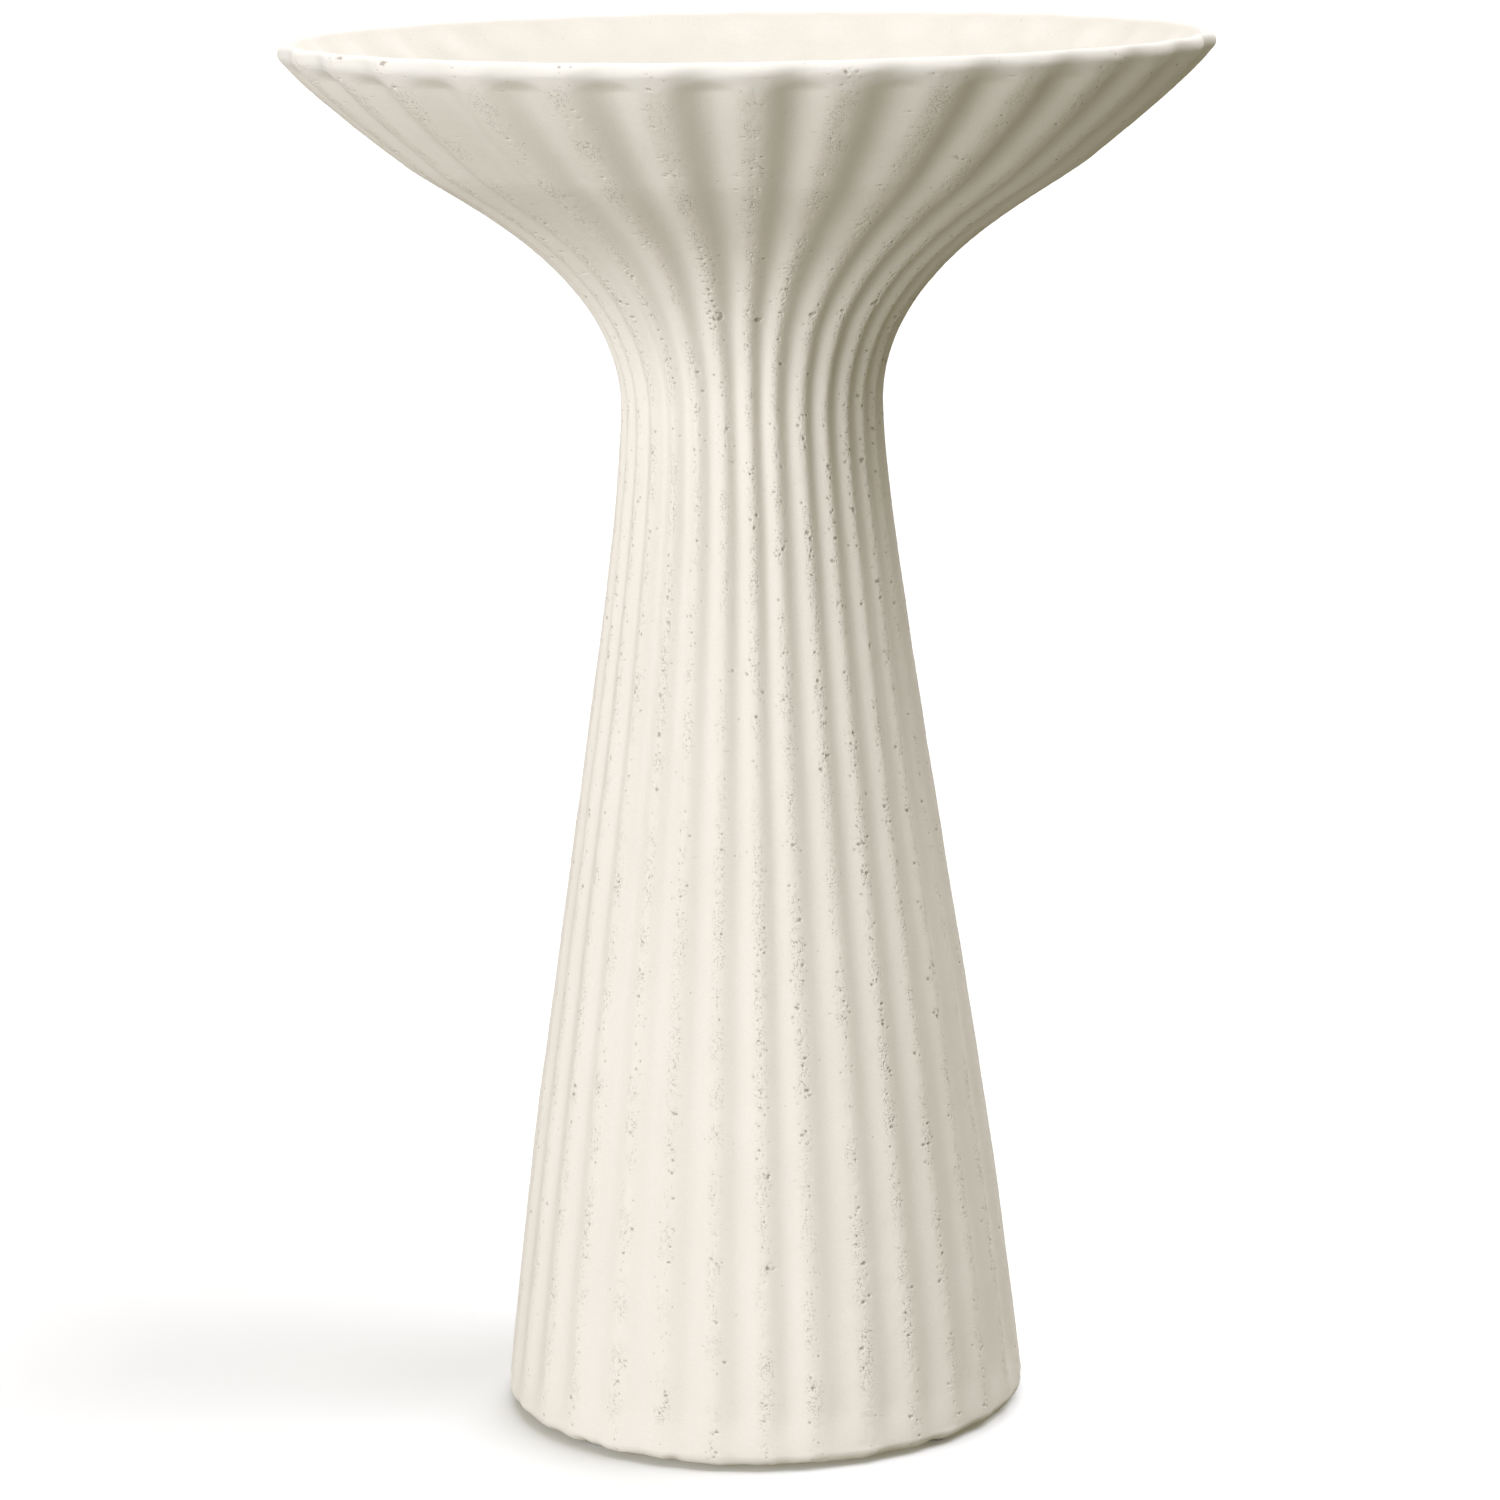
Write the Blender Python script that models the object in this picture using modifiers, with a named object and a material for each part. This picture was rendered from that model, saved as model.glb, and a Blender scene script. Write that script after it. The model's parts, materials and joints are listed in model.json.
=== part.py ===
"""Fluted bird bath: a cast bowl keyed onto a hollow cast pedestal and tied down from below.

Metres, +Z up. The origin is on the floor at the centre of the foot, and a flute's crest points along -Y.
Two castings in fibre cement make the whole outside. Between them lie a mortar bed and two dowels, which
keep the flutes in line. A threaded rod runs from an insert in the bowl's spigot through the pedestal's
head, where a nut pulls it up against a plate. Four rubber pads carry the foot.
"""
import math

import bpy
from mathutils import Matrix, Vector
from mathutils.geometry import interpolate_bezier

# Overall sizes
HEIGHT = 0.580
FOOT_RADIUS = 0.1114
NECK_RADIUS = 0.0550
NECK_HEIGHT = 0.428
FLARE_RADIUS = 0.1416
FLARE_HEIGHT = 0.530
RIM_RADIUS = 0.1920

# Flutes, which run unbroken from the foot to the rim
FLUTES = 31
STEPS_PER_FLUTE = 4
FOOT_FLUTE_DEPTH = 0.0020
NECK_FLUTE_DEPTH = 0.0021
RIM_FLUTE_DEPTH = 0.0064

# Bowl. The shares are parts of the outside's flute depth.
LIP_RADIUS = 0.0036
LIP_OUTER_SHARE = 0.42
LIP_INNER_SHARE = 0.15
BASIN_SHARE = 0.60
WALL_TILT = math.radians(41)
BASIN_FLOOR = 0.509
SPIGOT_RADIUS = 0.0240
SPIGOT_LENGTH = 0.022
LAND_INNER_RADIUS = 0.0510

# Pedestal
JOINT_HEIGHT = 0.470
COLUMN_TOP = 0.40
FOOT_EDGE_RADIUS = 0.0045
HOLLOW_FOOT_RADIUS = 0.091
HOLLOW_HEAD_RADIUS = 0.040
HOLLOW_CEILING = 0.415
SOCKET_RADIUS = 0.0260
SOCKET_DEPTH = 0.0245
ROD_HOLE_RADIUS = 0.0065

# Joint between the castings
GAP = 0.0003
BED_THICKNESS = 0.0027
DOWEL_RADIUS = 0.0030
DOWEL_LENGTH = 0.023
DOWEL_CIRCLE = 0.0385
DOWELS = 2

# Tie hardware, M10
ROD_RADIUS = 0.0050
ROD_LENGTH = 0.074
ROD_CHAMFER = 0.001
THREAD_CLEARANCE = 0.0003  # on the radius
INSERT_RADIUS = 0.0087
INSERT_LENGTH = 0.020
INSERT_END_WALL = 0.004
PLATE_RADIUS = 0.0320
PLATE_THICKNESS = 0.004
CUSHION_THICKNESS = 0.002
WASHER_RADIUS = 0.0105
WASHER_THICKNESS = 0.0016
NUT_ACROSS_FLATS = 0.017
NUT_HEIGHT = 0.0084
NUT_CHAMFER = 0.0008
PLAIN_HOLE_RADIUS = 0.0056

# Foot pads
PADS = 4
PAD_RADIUS = 0.0060
PAD_THICKNESS = 0.0020
PAD_CIRCLE = 0.0976

FOOT_HEIGHT = PAD_THICKNESS + GAP
COLUMNS = FLUTES * STEPS_PER_FLUTE

# Fineness: sides round the small turned pieces, and steps down the castings' outlines
ROD_SIDES = 16
BUSH_SIDES = 24
PLATE_SIDES = 32
BED_SIDES = 48
BASIN_STEPS = 8
NOSE_STEPS = 4
FLARE_STEPS = 8
NECK_STEPS = 5
COLUMN_STEPS = 6
EDGE_STEPS = 3
OUTLINE_SAMPLES = 60
MERGE_DISTANCE = 0.00001
SHARP_ANGLE = math.radians(35)

MODEL_COLLECTION = "bird_bath"
CUTTER_COLLECTION = "cutters"

# Material name: colour, roughness, metallic
FINISHES = {
    "fibre_cement": ((0.83, 0.79, 0.71), 0.85, 0.0),
    "mortar": ((0.70, 0.67, 0.61), 0.95, 0.0),
    "brass": ((0.70, 0.52, 0.22), 0.40, 1.0),
    "zinc_steel": ((0.62, 0.63, 0.65), 0.38, 1.0),
    "stainless": ((0.70, 0.70, 0.71), 0.30, 1.0),
    "rubber": ((0.32, 0.31, 0.29), 0.80, 0.0),
}


def clear_scene():
    for obj in list(bpy.data.objects):
        bpy.data.objects.remove(obj, do_unlink=True)


def make_collection(name):
    collection = bpy.data.collections.new(name)
    bpy.context.scene.collection.children.link(collection)
    return collection


def make_materials():
    """One Principled material for each finish."""
    materials = {}
    for name, (colour, roughness, metallic) in FINISHES.items():
        material = bpy.data.materials.new(name)
        material.use_nodes = True
        shader = material.node_tree.nodes["Principled BSDF"]
        shader.inputs["Base Color"].default_value = (*colour, 1.0)
        shader.inputs["Roughness"].default_value = roughness
        shader.inputs["Metallic"].default_value = metallic
        materials[name] = material
    return materials


def lip_point(angle):
    """A point on the lip's round nose. The angle is measured from straight out, up over the top."""
    centre_radius = RIM_RADIUS - LIP_RADIUS
    centre_height = HEIGHT - LIP_RADIUS
    return centre_radius + LIP_RADIUS * math.cos(angle), centre_height + LIP_RADIUS * math.sin(angle)


# Bezier stretches of the outlines, as (radius, height) corners: end, two handles, end
WALL_TOP = lip_point(-WALL_TILT)
BASIN_TOP = lip_point(math.pi - WALL_TILT)
CREST_STRETCHES = [
    ((FOOT_RADIUS, 0.0), (0.0974, 0.148), (NECK_RADIUS, 0.366), (NECK_RADIUS, NECK_HEIGHT)),
    ((NECK_RADIUS, NECK_HEIGHT), (NECK_RADIUS, 0.486), (0.1212, 0.514), (FLARE_RADIUS, FLARE_HEIGHT)),
    ((FLARE_RADIUS, FLARE_HEIGHT), (0.1602, 0.545), (0.1806, 0.561), WALL_TOP),
]
BASIN_STRETCH = ((0.0, BASIN_FLOOR), (0.108, BASIN_FLOOR), (0.165, 0.5547), BASIN_TOP)


def along_stretch(stretch, count):
    """Evenly timed (radius, height) points along one Bezier stretch, its ends included."""
    corners = [Vector(corner).to_3d() for corner in stretch]
    return [(point.x, point.y) for point in interpolate_bezier(*corners, count)]


def crest_line():
    """The flutes' crest line from the foot to under the lip, as (radius, height) points."""
    points = []
    for stretch in CREST_STRETCHES:
        points += along_stretch(stretch, OUTLINE_SAMPLES)
    return points


CREST_LINE = crest_line()


def crest_radius(height):
    """Radius of the crest line at a height."""
    for (low_radius, low), (high_radius, high) in zip(CREST_LINE, CREST_LINE[1:]):
        if low <= height <= high and high > low:
            return low_radius + (high_radius - low_radius) * (height - low) / (high - low)
    return CREST_LINE[-1][0]


def flute_depth(height):
    """Depth of the flutes from crest to valley: shallow at the neck, deeper towards the foot and rim."""
    if height < NECK_HEIGHT:
        return FOOT_FLUTE_DEPTH + (NECK_FLUTE_DEPTH - FOOT_FLUTE_DEPTH) * height / NECK_HEIGHT
    spread = (crest_radius(height) - NECK_RADIUS) / (RIM_RADIUS - NECK_RADIUS)
    return NECK_FLUTE_DEPTH + (RIM_FLUTE_DEPTH - NECK_FLUTE_DEPTH) * spread


def basin_share(radius):
    """How deeply the basin is fluted: not at all at the middle, most on its wall, faintly at the lip."""
    reach = (radius / BASIN_TOP[0]) ** 4
    return 4 * BASIN_SHARE * reach * (1 - reach) + LIP_INNER_SHARE * reach


def crest_points(top, bottom, count):
    """Fully fluted profile points down the crest line, as (radius, height, share of the flute depth)."""
    heights = [top + (bottom - top) * step / count for step in range(count)]
    return [(crest_radius(height), height, 1.0) for height in heights]


def turned_object(name, profile, columns):
    """A closed solid turned about Z from a profile of (radius, height, share of the flute depth) points.

    The profile runs down its outer side. One that stands clear of the axis is closed into a loop.
    """
    mesh = bpy.data.meshes.new(name)
    edges = [(index, index + 1) for index in range(len(profile) - 1)]
    if profile[0][0] > 0:
        edges.append((len(profile) - 1, 0))
    mesh.from_pydata([(radius, 0.0, height) for radius, height, share in profile], edges, [])
    outline = bpy.data.objects.new(name + "_outline", mesh)
    bpy.context.scene.collection.objects.link(outline)
    group = outline.vertex_groups.new(name="fluted")
    for index, (radius, height, share) in enumerate(profile):
        group.add([index], share, "REPLACE")

    screw = outline.modifiers.new("turn", "SCREW")
    screw.axis = "Z"
    screw.steps = columns
    screw.render_steps = columns
    screw.use_merge_vertices = True
    screw.merge_threshold = MERGE_DISTANCE

    bpy.context.view_layer.update()
    evaluated = outline.evaluated_get(bpy.context.evaluated_depsgraph_get())
    turned = bpy.data.meshes.new_from_object(evaluated)
    turned.name = name
    bpy.data.objects.remove(outline, do_unlink=True)
    return bpy.data.objects.new(name, turned)


def cut_flutes(obj):
    """Move each vertex in from the crest line by the flute's depth at its angle and height."""
    mesh = obj.data
    mesh.transform(Matrix.Rotation(-math.pi / 2, 4, "Z"))
    for vertex in mesh.vertices:
        radius = math.hypot(vertex.co.x, vertex.co.y)
        if radius < MERGE_DISTANCE:
            continue
        angle = math.atan2(vertex.co.x, -vertex.co.y)
        share = vertex.groups[0].weight
        inward = share * flute_depth(vertex.co.z) * (1 - math.cos(FLUTES * angle)) / 2
        vertex.co.x *= 1 - inward / radius
        vertex.co.y *= 1 - inward / radius


def finish(obj, collection, material):
    """Put an object in a collection with its material, smooth but for its sharp edges."""
    collection.objects.link(obj)
    obj.data.materials.clear()
    obj.data.materials.append(material)
    obj.data.shade_smooth()
    obj.data.set_sharp_from_angle(angle=SHARP_ANGLE)
    return obj


def turned_part(name, collection, material, profile, columns):
    """A plain turned piece from (radius, height) points that run down its outer side."""
    points = [(radius, height, 0.0) for radius, height in profile]
    return finish(turned_object(name, points, columns), collection, material)


def washer_profile(outer, inner, top, thickness):
    return [(outer, top), (outer, top - thickness), (inner, top - thickness), (inner, top)]


def dowel_positions():
    for index in range(DOWELS):
        angle = 2 * math.pi * index / DOWELS
        yield index + 1, DOWEL_CIRCLE * math.cos(angle), DOWEL_CIRCLE * math.sin(angle)


def cylinder(name, radius, length, location, sides, collection):
    """A closed upright cylinder with its middle at the location."""
    bpy.ops.mesh.primitive_cylinder_add(vertices=sides, radius=radius, depth=length, location=location)
    obj = bpy.context.active_object
    obj.name = name
    for owner in list(obj.users_collection):
        owner.objects.unlink(obj)
    collection.objects.link(obj)
    return obj


def cut_with(obj, cutter):
    """Take the cutter's volume out of an object with an exact Boolean."""
    boolean = obj.modifiers.new(cutter.name, "BOOLEAN")
    boolean.operation = "DIFFERENCE"
    boolean.solver = "EXACT"
    boolean.object = cutter


def mark_as_cutter(obj):
    obj.hide_render = True
    obj.display_type = "WIRE"
    return obj


def make_dowel_cutters(collection):
    """Holes for the dowels, a little longer and wider than the dowels themselves."""
    cutters = []
    for index, x, y in dowel_positions():
        cutter = cylinder(f"dowel_hole_{index}", DOWEL_RADIUS + GAP, DOWEL_LENGTH + 2 * GAP,
                          (x, y, JOINT_HEIGHT + BED_THICKNESS / 2), ROD_SIDES, collection)
        cutters.append(mark_as_cutter(cutter))
    return cutters


def make_bowl(collection, material, cutters):
    """The bowl: basin, lip and fluted flare, with a spigot below that holds the insert's pocket."""
    underside = JOINT_HEIGHT + GAP
    bed_ceiling = underside + BED_THICKNESS + GAP
    spigot_end = underside - SPIGOT_LENGTH
    pocket_radius = INSERT_RADIUS + GAP
    pocket_ceiling = spigot_end + INSERT_LENGTH + 2 * GAP

    basin = along_stretch(BASIN_STRETCH, BASIN_STEPS)[:-1]
    profile = [(radius, height, basin_share(radius)) for radius, height in basin]
    for step in range(NOSE_STEPS + 1):
        part = step / NOSE_STEPS
        share = LIP_INNER_SHARE + (LIP_OUTER_SHARE - LIP_INNER_SHARE) * part
        profile.append((*lip_point(math.pi - WALL_TILT - math.pi * part), share))
    profile += crest_points(WALL_TOP[1], underside, FLARE_STEPS)[1:]
    profile += [
        (crest_radius(underside), underside, 1.0),
        (LAND_INNER_RADIUS, underside, 0.0),
        (LAND_INNER_RADIUS, bed_ceiling, 0.0),
        (SPIGOT_RADIUS, bed_ceiling, 0.0),
        (SPIGOT_RADIUS, spigot_end, 0.0),
        (pocket_radius, spigot_end, 0.0),
        (pocket_radius, pocket_ceiling, 0.0),
        (0.0, pocket_ceiling, 0.0),
    ]
    bowl = turned_object("bowl", profile, COLUMNS)
    cut_flutes(bowl)
    for cutter in cutters:
        cut_with(bowl, cutter)
    return finish(bowl, collection, material)


def make_pedestal(collection, material, cutters):
    """The pedestal: a fluted hollow column, open at the foot, with a socket in its solid head."""
    socket_floor = JOINT_HEIGHT - SOCKET_DEPTH
    edge_top = FOOT_HEIGHT + FOOT_EDGE_RADIUS
    profile = crest_points(JOINT_HEIGHT, COLUMN_TOP, NECK_STEPS)
    profile += crest_points(COLUMN_TOP, edge_top, COLUMN_STEPS)
    for step in range(EDGE_STEPS + 1):
        angle = math.pi / 2 * step / EDGE_STEPS
        radius = crest_radius(edge_top) - FOOT_EDGE_RADIUS * (1 - math.cos(angle))
        profile.append((radius, edge_top - FOOT_EDGE_RADIUS * math.sin(angle), 1.0))
    profile += [
        (HOLLOW_FOOT_RADIUS, FOOT_HEIGHT, 0.0),
        (HOLLOW_HEAD_RADIUS, HOLLOW_CEILING, 0.0),
        (ROD_HOLE_RADIUS, HOLLOW_CEILING, 0.0),
        (ROD_HOLE_RADIUS, socket_floor, 0.0),
        (SOCKET_RADIUS, socket_floor, 0.0),
        (SOCKET_RADIUS, JOINT_HEIGHT, 0.0),
    ]
    pedestal = turned_object("pedestal", profile, COLUMNS)
    cut_flutes(pedestal)
    for cutter in cutters:
        cut_with(pedestal, cutter)
    return finish(pedestal, collection, material)


def make_joint(collection, materials, cutters):
    """The mortar bed in the bowl's recess and the dowels that pass through it."""
    bed_top = JOINT_HEIGHT + GAP + BED_THICKNESS
    bed = turned_part("mortar_bed", collection, materials["mortar"],
                      washer_profile(LAND_INNER_RADIUS - GAP, SOCKET_RADIUS + GAP, bed_top, BED_THICKNESS),
                      BED_SIDES)
    for cutter in cutters:
        cut_with(bed, cutter)
    for index, x, y in dowel_positions():
        dowel = cylinder(f"dowel_{index}", DOWEL_RADIUS, DOWEL_LENGTH,
                         (x, y, JOINT_HEIGHT + BED_THICKNESS / 2), ROD_SIDES, collection)
        collection.objects.unlink(dowel)
        finish(dowel, collection, materials["stainless"])


def make_tie(collection, cutter_collection, materials):
    """The insert, rod, cushion, plate, washer and nut that hold the bowl down."""
    insert_top = JOINT_HEIGHT + GAP - SPIGOT_LENGTH + GAP + INSERT_LENGTH
    bore_top = insert_top - INSERT_END_WALL
    bore = ROD_RADIUS + THREAD_CLEARANCE
    turned_part("threaded_insert", collection, materials["brass"],
                [(0.0, insert_top), (INSERT_RADIUS, insert_top), (INSERT_RADIUS, insert_top - INSERT_LENGTH),
                 (bore, insert_top - INSERT_LENGTH), (bore, bore_top), (0.0, bore_top)], BUSH_SIDES)

    rod_top = bore_top - GAP
    tip = ROD_CHAMFER
    rod_end = rod_top - ROD_LENGTH
    turned_part("tie_rod", collection, materials["zinc_steel"],
                [(0.0, rod_top), (ROD_RADIUS - tip, rod_top), (ROD_RADIUS, rod_top - tip),
                 (ROD_RADIUS, rod_end + tip), (ROD_RADIUS - tip, rod_end), (0.0, rod_end)], ROD_SIDES)

    top = HOLLOW_CEILING - GAP
    turned_part("plate_cushion", collection, materials["rubber"],
                washer_profile(PLATE_RADIUS, PLAIN_HOLE_RADIUS, top, CUSHION_THICKNESS), PLATE_SIDES)
    top -= CUSHION_THICKNESS + GAP
    turned_part("clamp_plate", collection, materials["zinc_steel"],
                washer_profile(PLATE_RADIUS, PLAIN_HOLE_RADIUS, top, PLATE_THICKNESS), PLATE_SIDES)
    top -= PLATE_THICKNESS + GAP
    turned_part("tie_washer", collection, materials["zinc_steel"],
                washer_profile(WASHER_RADIUS, PLAIN_HOLE_RADIUS, top, WASHER_THICKNESS), BUSH_SIDES)
    top -= WASHER_THICKNESS + GAP

    middle = (0, 0, top - NUT_HEIGHT / 2)
    corner_radius = NUT_ACROSS_FLATS / 2 / math.cos(math.pi / 6)
    nut = cylinder("tie_nut", corner_radius, NUT_HEIGHT, middle, 6, collection)
    collection.objects.unlink(nut)
    chamfer = nut.modifiers.new("chamfer", "BEVEL")
    chamfer.width = NUT_CHAMFER
    chamfer.segments = 1
    thread = cylinder("nut_thread", bore, NUT_HEIGHT * 2, middle, BUSH_SIDES, cutter_collection)
    cut_with(nut, mark_as_cutter(thread))
    finish(nut, collection, materials["zinc_steel"])


def make_pads(collection, material):
    """Round rubber pads under the foot, halfway between the X and Y axes."""
    for index in range(PADS):
        angle = 2 * math.pi * (index + 0.5) / PADS
        pad = cylinder(f"foot_pad_{index + 1}", PAD_RADIUS, PAD_THICKNESS,
                       (PAD_CIRCLE * math.cos(angle), PAD_CIRCLE * math.sin(angle), PAD_THICKNESS / 2),
                       ROD_SIDES, collection)
        collection.objects.unlink(pad)
        finish(pad, collection, material)


def main():
    clear_scene()
    model = make_collection(MODEL_COLLECTION)
    cutter_collection = make_collection(CUTTER_COLLECTION)
    materials = make_materials()
    cutters = make_dowel_cutters(cutter_collection)
    make_bowl(model, materials["fibre_cement"], cutters)
    make_pedestal(model, materials["fibre_cement"], cutters)
    make_joint(model, materials, cutters)
    make_tie(model, cutter_collection, materials)
    make_pads(model, materials["rubber"])


main()
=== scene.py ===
"""Fluted bird bath: the detailed castings, their materials and the studio around them.

The bowl and pedestal replace their CAD nodes with dense turned meshes that carry the hand-made flutes,
the soft lip, the worn foot and the pits in the cement. Both are cut from one continuous fluted surface,
so that they meet without a step. Everything else keeps its CAD shape and gets a better material.
"""
import json
import math

import bpy
import numpy as np
from mathutils import Matrix, Vector
from mathutils.geometry import interpolate_bezier


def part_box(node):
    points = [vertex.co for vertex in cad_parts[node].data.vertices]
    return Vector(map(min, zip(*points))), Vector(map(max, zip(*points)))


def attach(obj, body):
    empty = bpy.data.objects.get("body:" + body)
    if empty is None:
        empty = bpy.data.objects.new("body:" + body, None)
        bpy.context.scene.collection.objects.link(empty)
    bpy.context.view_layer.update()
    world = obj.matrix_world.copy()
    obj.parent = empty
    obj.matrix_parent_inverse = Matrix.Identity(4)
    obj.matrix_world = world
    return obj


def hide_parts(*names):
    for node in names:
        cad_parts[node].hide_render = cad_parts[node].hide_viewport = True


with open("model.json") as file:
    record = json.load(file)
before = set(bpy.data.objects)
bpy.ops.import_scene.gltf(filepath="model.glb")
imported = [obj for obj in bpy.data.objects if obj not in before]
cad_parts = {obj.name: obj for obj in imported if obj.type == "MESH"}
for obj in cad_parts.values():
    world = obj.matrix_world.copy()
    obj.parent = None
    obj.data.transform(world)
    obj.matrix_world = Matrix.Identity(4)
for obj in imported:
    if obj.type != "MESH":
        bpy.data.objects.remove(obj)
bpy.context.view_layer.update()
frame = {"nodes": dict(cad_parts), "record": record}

MM = 0.001
GAP = 0.3 * MM

# Sizes that the frame gives
BOWL_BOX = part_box("bowl")
PEDESTAL_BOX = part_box("pedestal")
HEIGHT = BOWL_BOX[1].z
RIM_RADIUS = -BOWL_BOX[0].y
SPIGOT_END = BOWL_BOX[0].z
JOINT_HEIGHT = PEDESTAL_BOX[1].z
FOOT_HEIGHT = PEDESTAL_BOX[0].z
POCKET_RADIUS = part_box("threaded_insert")[1].x + GAP
POCKET_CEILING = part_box("threaded_insert")[1].z + GAP
HOLLOW_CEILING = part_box("plate_cushion")[1].z + GAP
BED_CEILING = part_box("mortar_bed")[1].z + GAP
LAND_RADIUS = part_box("mortar_bed")[1].x + GAP

# Outline of the castings, as in the CAD
FOOT_RADIUS = 0.1114
NECK_RADIUS = 0.0550
NECK_HEIGHT = 0.428
FLARE_RADIUS = 0.1416
FLARE_HEIGHT = 0.530
LIP_RADIUS = 0.0036
WALL_TILT = math.radians(41)
BASIN_FLOOR = 0.509
FOOT_EDGE_RADIUS = 0.0045
HOLLOW_FOOT_RADIUS = 0.091
HOLLOW_HEAD_RADIUS = 0.040
SPIGOT_RADIUS = 0.0240
SOCKET_RADIUS = 0.0260
SOCKET_DEPTH = 0.0245
ROD_HOLE_RADIUS = 0.0065

# Flutes: depth from crest to valley, and shares of it at the lip, in the basin and at the foot's edge
FLUTES = 31
FOOT_FLUTE_DEPTH = 0.0019
NECK_FLUTE_DEPTH = 0.0020
RIM_FLUTE_DEPTH = 0.0064
LIP_OUTER_SHARE = 0.48
LIP_INNER_SHARE = 0.22
BASIN_SHARE = 0.85
FOOT_EDGE_SHARE = 0.35
LIP_FADE = 0.006
FOOT_FADE = 0.018
BASIN_FADE = 12 * MM
BASIN_RISE = 2.5

# Power of the flutes' wave: over 1 broadens the crests
LIP_INNER_POWER = 2.0
BASIN_POWER = 1.4
BOWL_EXTRA_POWER = 0.35

# Noise that wears the surface: cell in metres, height in millimetres and seed of each layer
LUMPS = ((0.060, 0.35, 11), (0.019, 0.14, 12), (0.006, 0.04, 13))
GRIT_CELL = 0.0016
GRIT_EVERYWHERE = 0.015
GRIT_ON_CRESTS = 0.060
RAGGED_LAYERS = ((0.011, 0.35, 15), (0.004, 0.20, 16))
LEDGE_CELL = 0.008
LEDGE_HEIGHT = 0.22
LEDGE_STEEPNESS = 6
CHIP_CELL = 0.013
CHIP_THRESHOLD = 0.50
CHIP_DEPTH = 3.2
RAGGED_REACH = 0.007

# Pits: least radius, usual extra and greatest radius
FINE_PITS = (0.24 * MM, 0.11 * MM, 0.7 * MM)
LARGE_PITS = (0.42 * MM, 0.20 * MM, 1.1 * MM)
BASIN_PITS = (0.30 * MM, 0.15 * MM, 0.9 * MM)
BASIN_PIT_SPREAD = 12 * MM
# Pit depth at which a pit's painted shade is full
FULL_PIT_SHADE_DEPTH = 0.30 * MM

# Fineness of the castings' meshes
COLUMNS_PER_FLUTE = 32
CREST_CROWDING = 0.45
ROW_SPACING = 0.5 * MM
NOSE_ROWS = 22
FOOT_EDGE_ROWS = 14
CREST_SAMPLES = 4000
BASIN_SAMPLES = 400
BASIN_FLOOR_RADIUS = 0.150
BASIN_FLOOR_SPACING = 2.0 * MM
BASIN_WALL_SPACING = 0.9 * MM
SHARP_ANGLE = math.radians(55)

rng = np.random.default_rng(31)


# ---------------------------------------------------------------- outline

def lip_point(angle):
    """A point on the lip's round nose. The angle is measured from straight out, up over the top."""
    return (RIM_RADIUS - LIP_RADIUS + LIP_RADIUS * math.cos(angle),
            HEIGHT - LIP_RADIUS + LIP_RADIUS * math.sin(angle))


WALL_TOP = lip_point(-WALL_TILT)
BASIN_TOP = lip_point(math.pi - WALL_TILT)
CREST_STRETCHES = [
    ((FOOT_RADIUS, 0.0), (0.0974, 0.148), (NECK_RADIUS, 0.366), (NECK_RADIUS, NECK_HEIGHT)),
    ((NECK_RADIUS, NECK_HEIGHT), (NECK_RADIUS, 0.486), (0.1212, 0.514), (FLARE_RADIUS, FLARE_HEIGHT)),
    ((FLARE_RADIUS, FLARE_HEIGHT), (0.1602, 0.545), (0.1806, 0.561), WALL_TOP),
]
BASIN_STRETCH = ((0.0, BASIN_FLOOR), (0.108, BASIN_FLOOR), (0.165, 0.5547), BASIN_TOP)


def along_stretch(stretch, count=200):
    """(radius, height) points along one Bezier stretch."""
    corners = [Vector(corner).to_3d() for corner in stretch]
    return np.array([(point.x, point.y) for point in interpolate_bezier(*corners, count)])


CREST = np.concatenate([[(FOOT_RADIUS, 0.0)]] + [along_stretch(stretch)[1:] for stretch in CREST_STRETCHES])


def crest_radius(height):
    return np.interp(height, CREST[:, 1], CREST[:, 0])


def flute_depth(height):
    """Depth of the flutes from crest to valley."""
    low = FOOT_FLUTE_DEPTH + (NECK_FLUTE_DEPTH - FOOT_FLUTE_DEPTH) * height / NECK_HEIGHT
    spread = (crest_radius(height) - NECK_RADIUS) / (RIM_RADIUS - NECK_RADIUS)
    high = NECK_FLUTE_DEPTH + (RIM_FLUTE_DEPTH - NECK_FLUTE_DEPTH) * spread
    return np.where(height < NECK_HEIGHT, low, high)


def smooth_step(low, high, value):
    part = np.clip((value - low) / (high - low), 0, 1)
    return part * part * (3 - 2 * part)


def line_lengths(points):
    """Distance along a line at each of its points."""
    return np.concatenate([[0], np.cumsum(np.linalg.norm(np.diff(points, axis=0), axis=1))])


def resample(points, spacing):
    """The same line with even steps of about the spacing."""
    lengths = line_lengths(points)
    count = max(2, int(round(lengths[-1] / spacing)) + 1)
    at = np.linspace(0, lengths[-1], count)
    return np.stack([np.interp(at, lengths, points[:, axis]) for axis in range(2)], axis=1)


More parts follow.
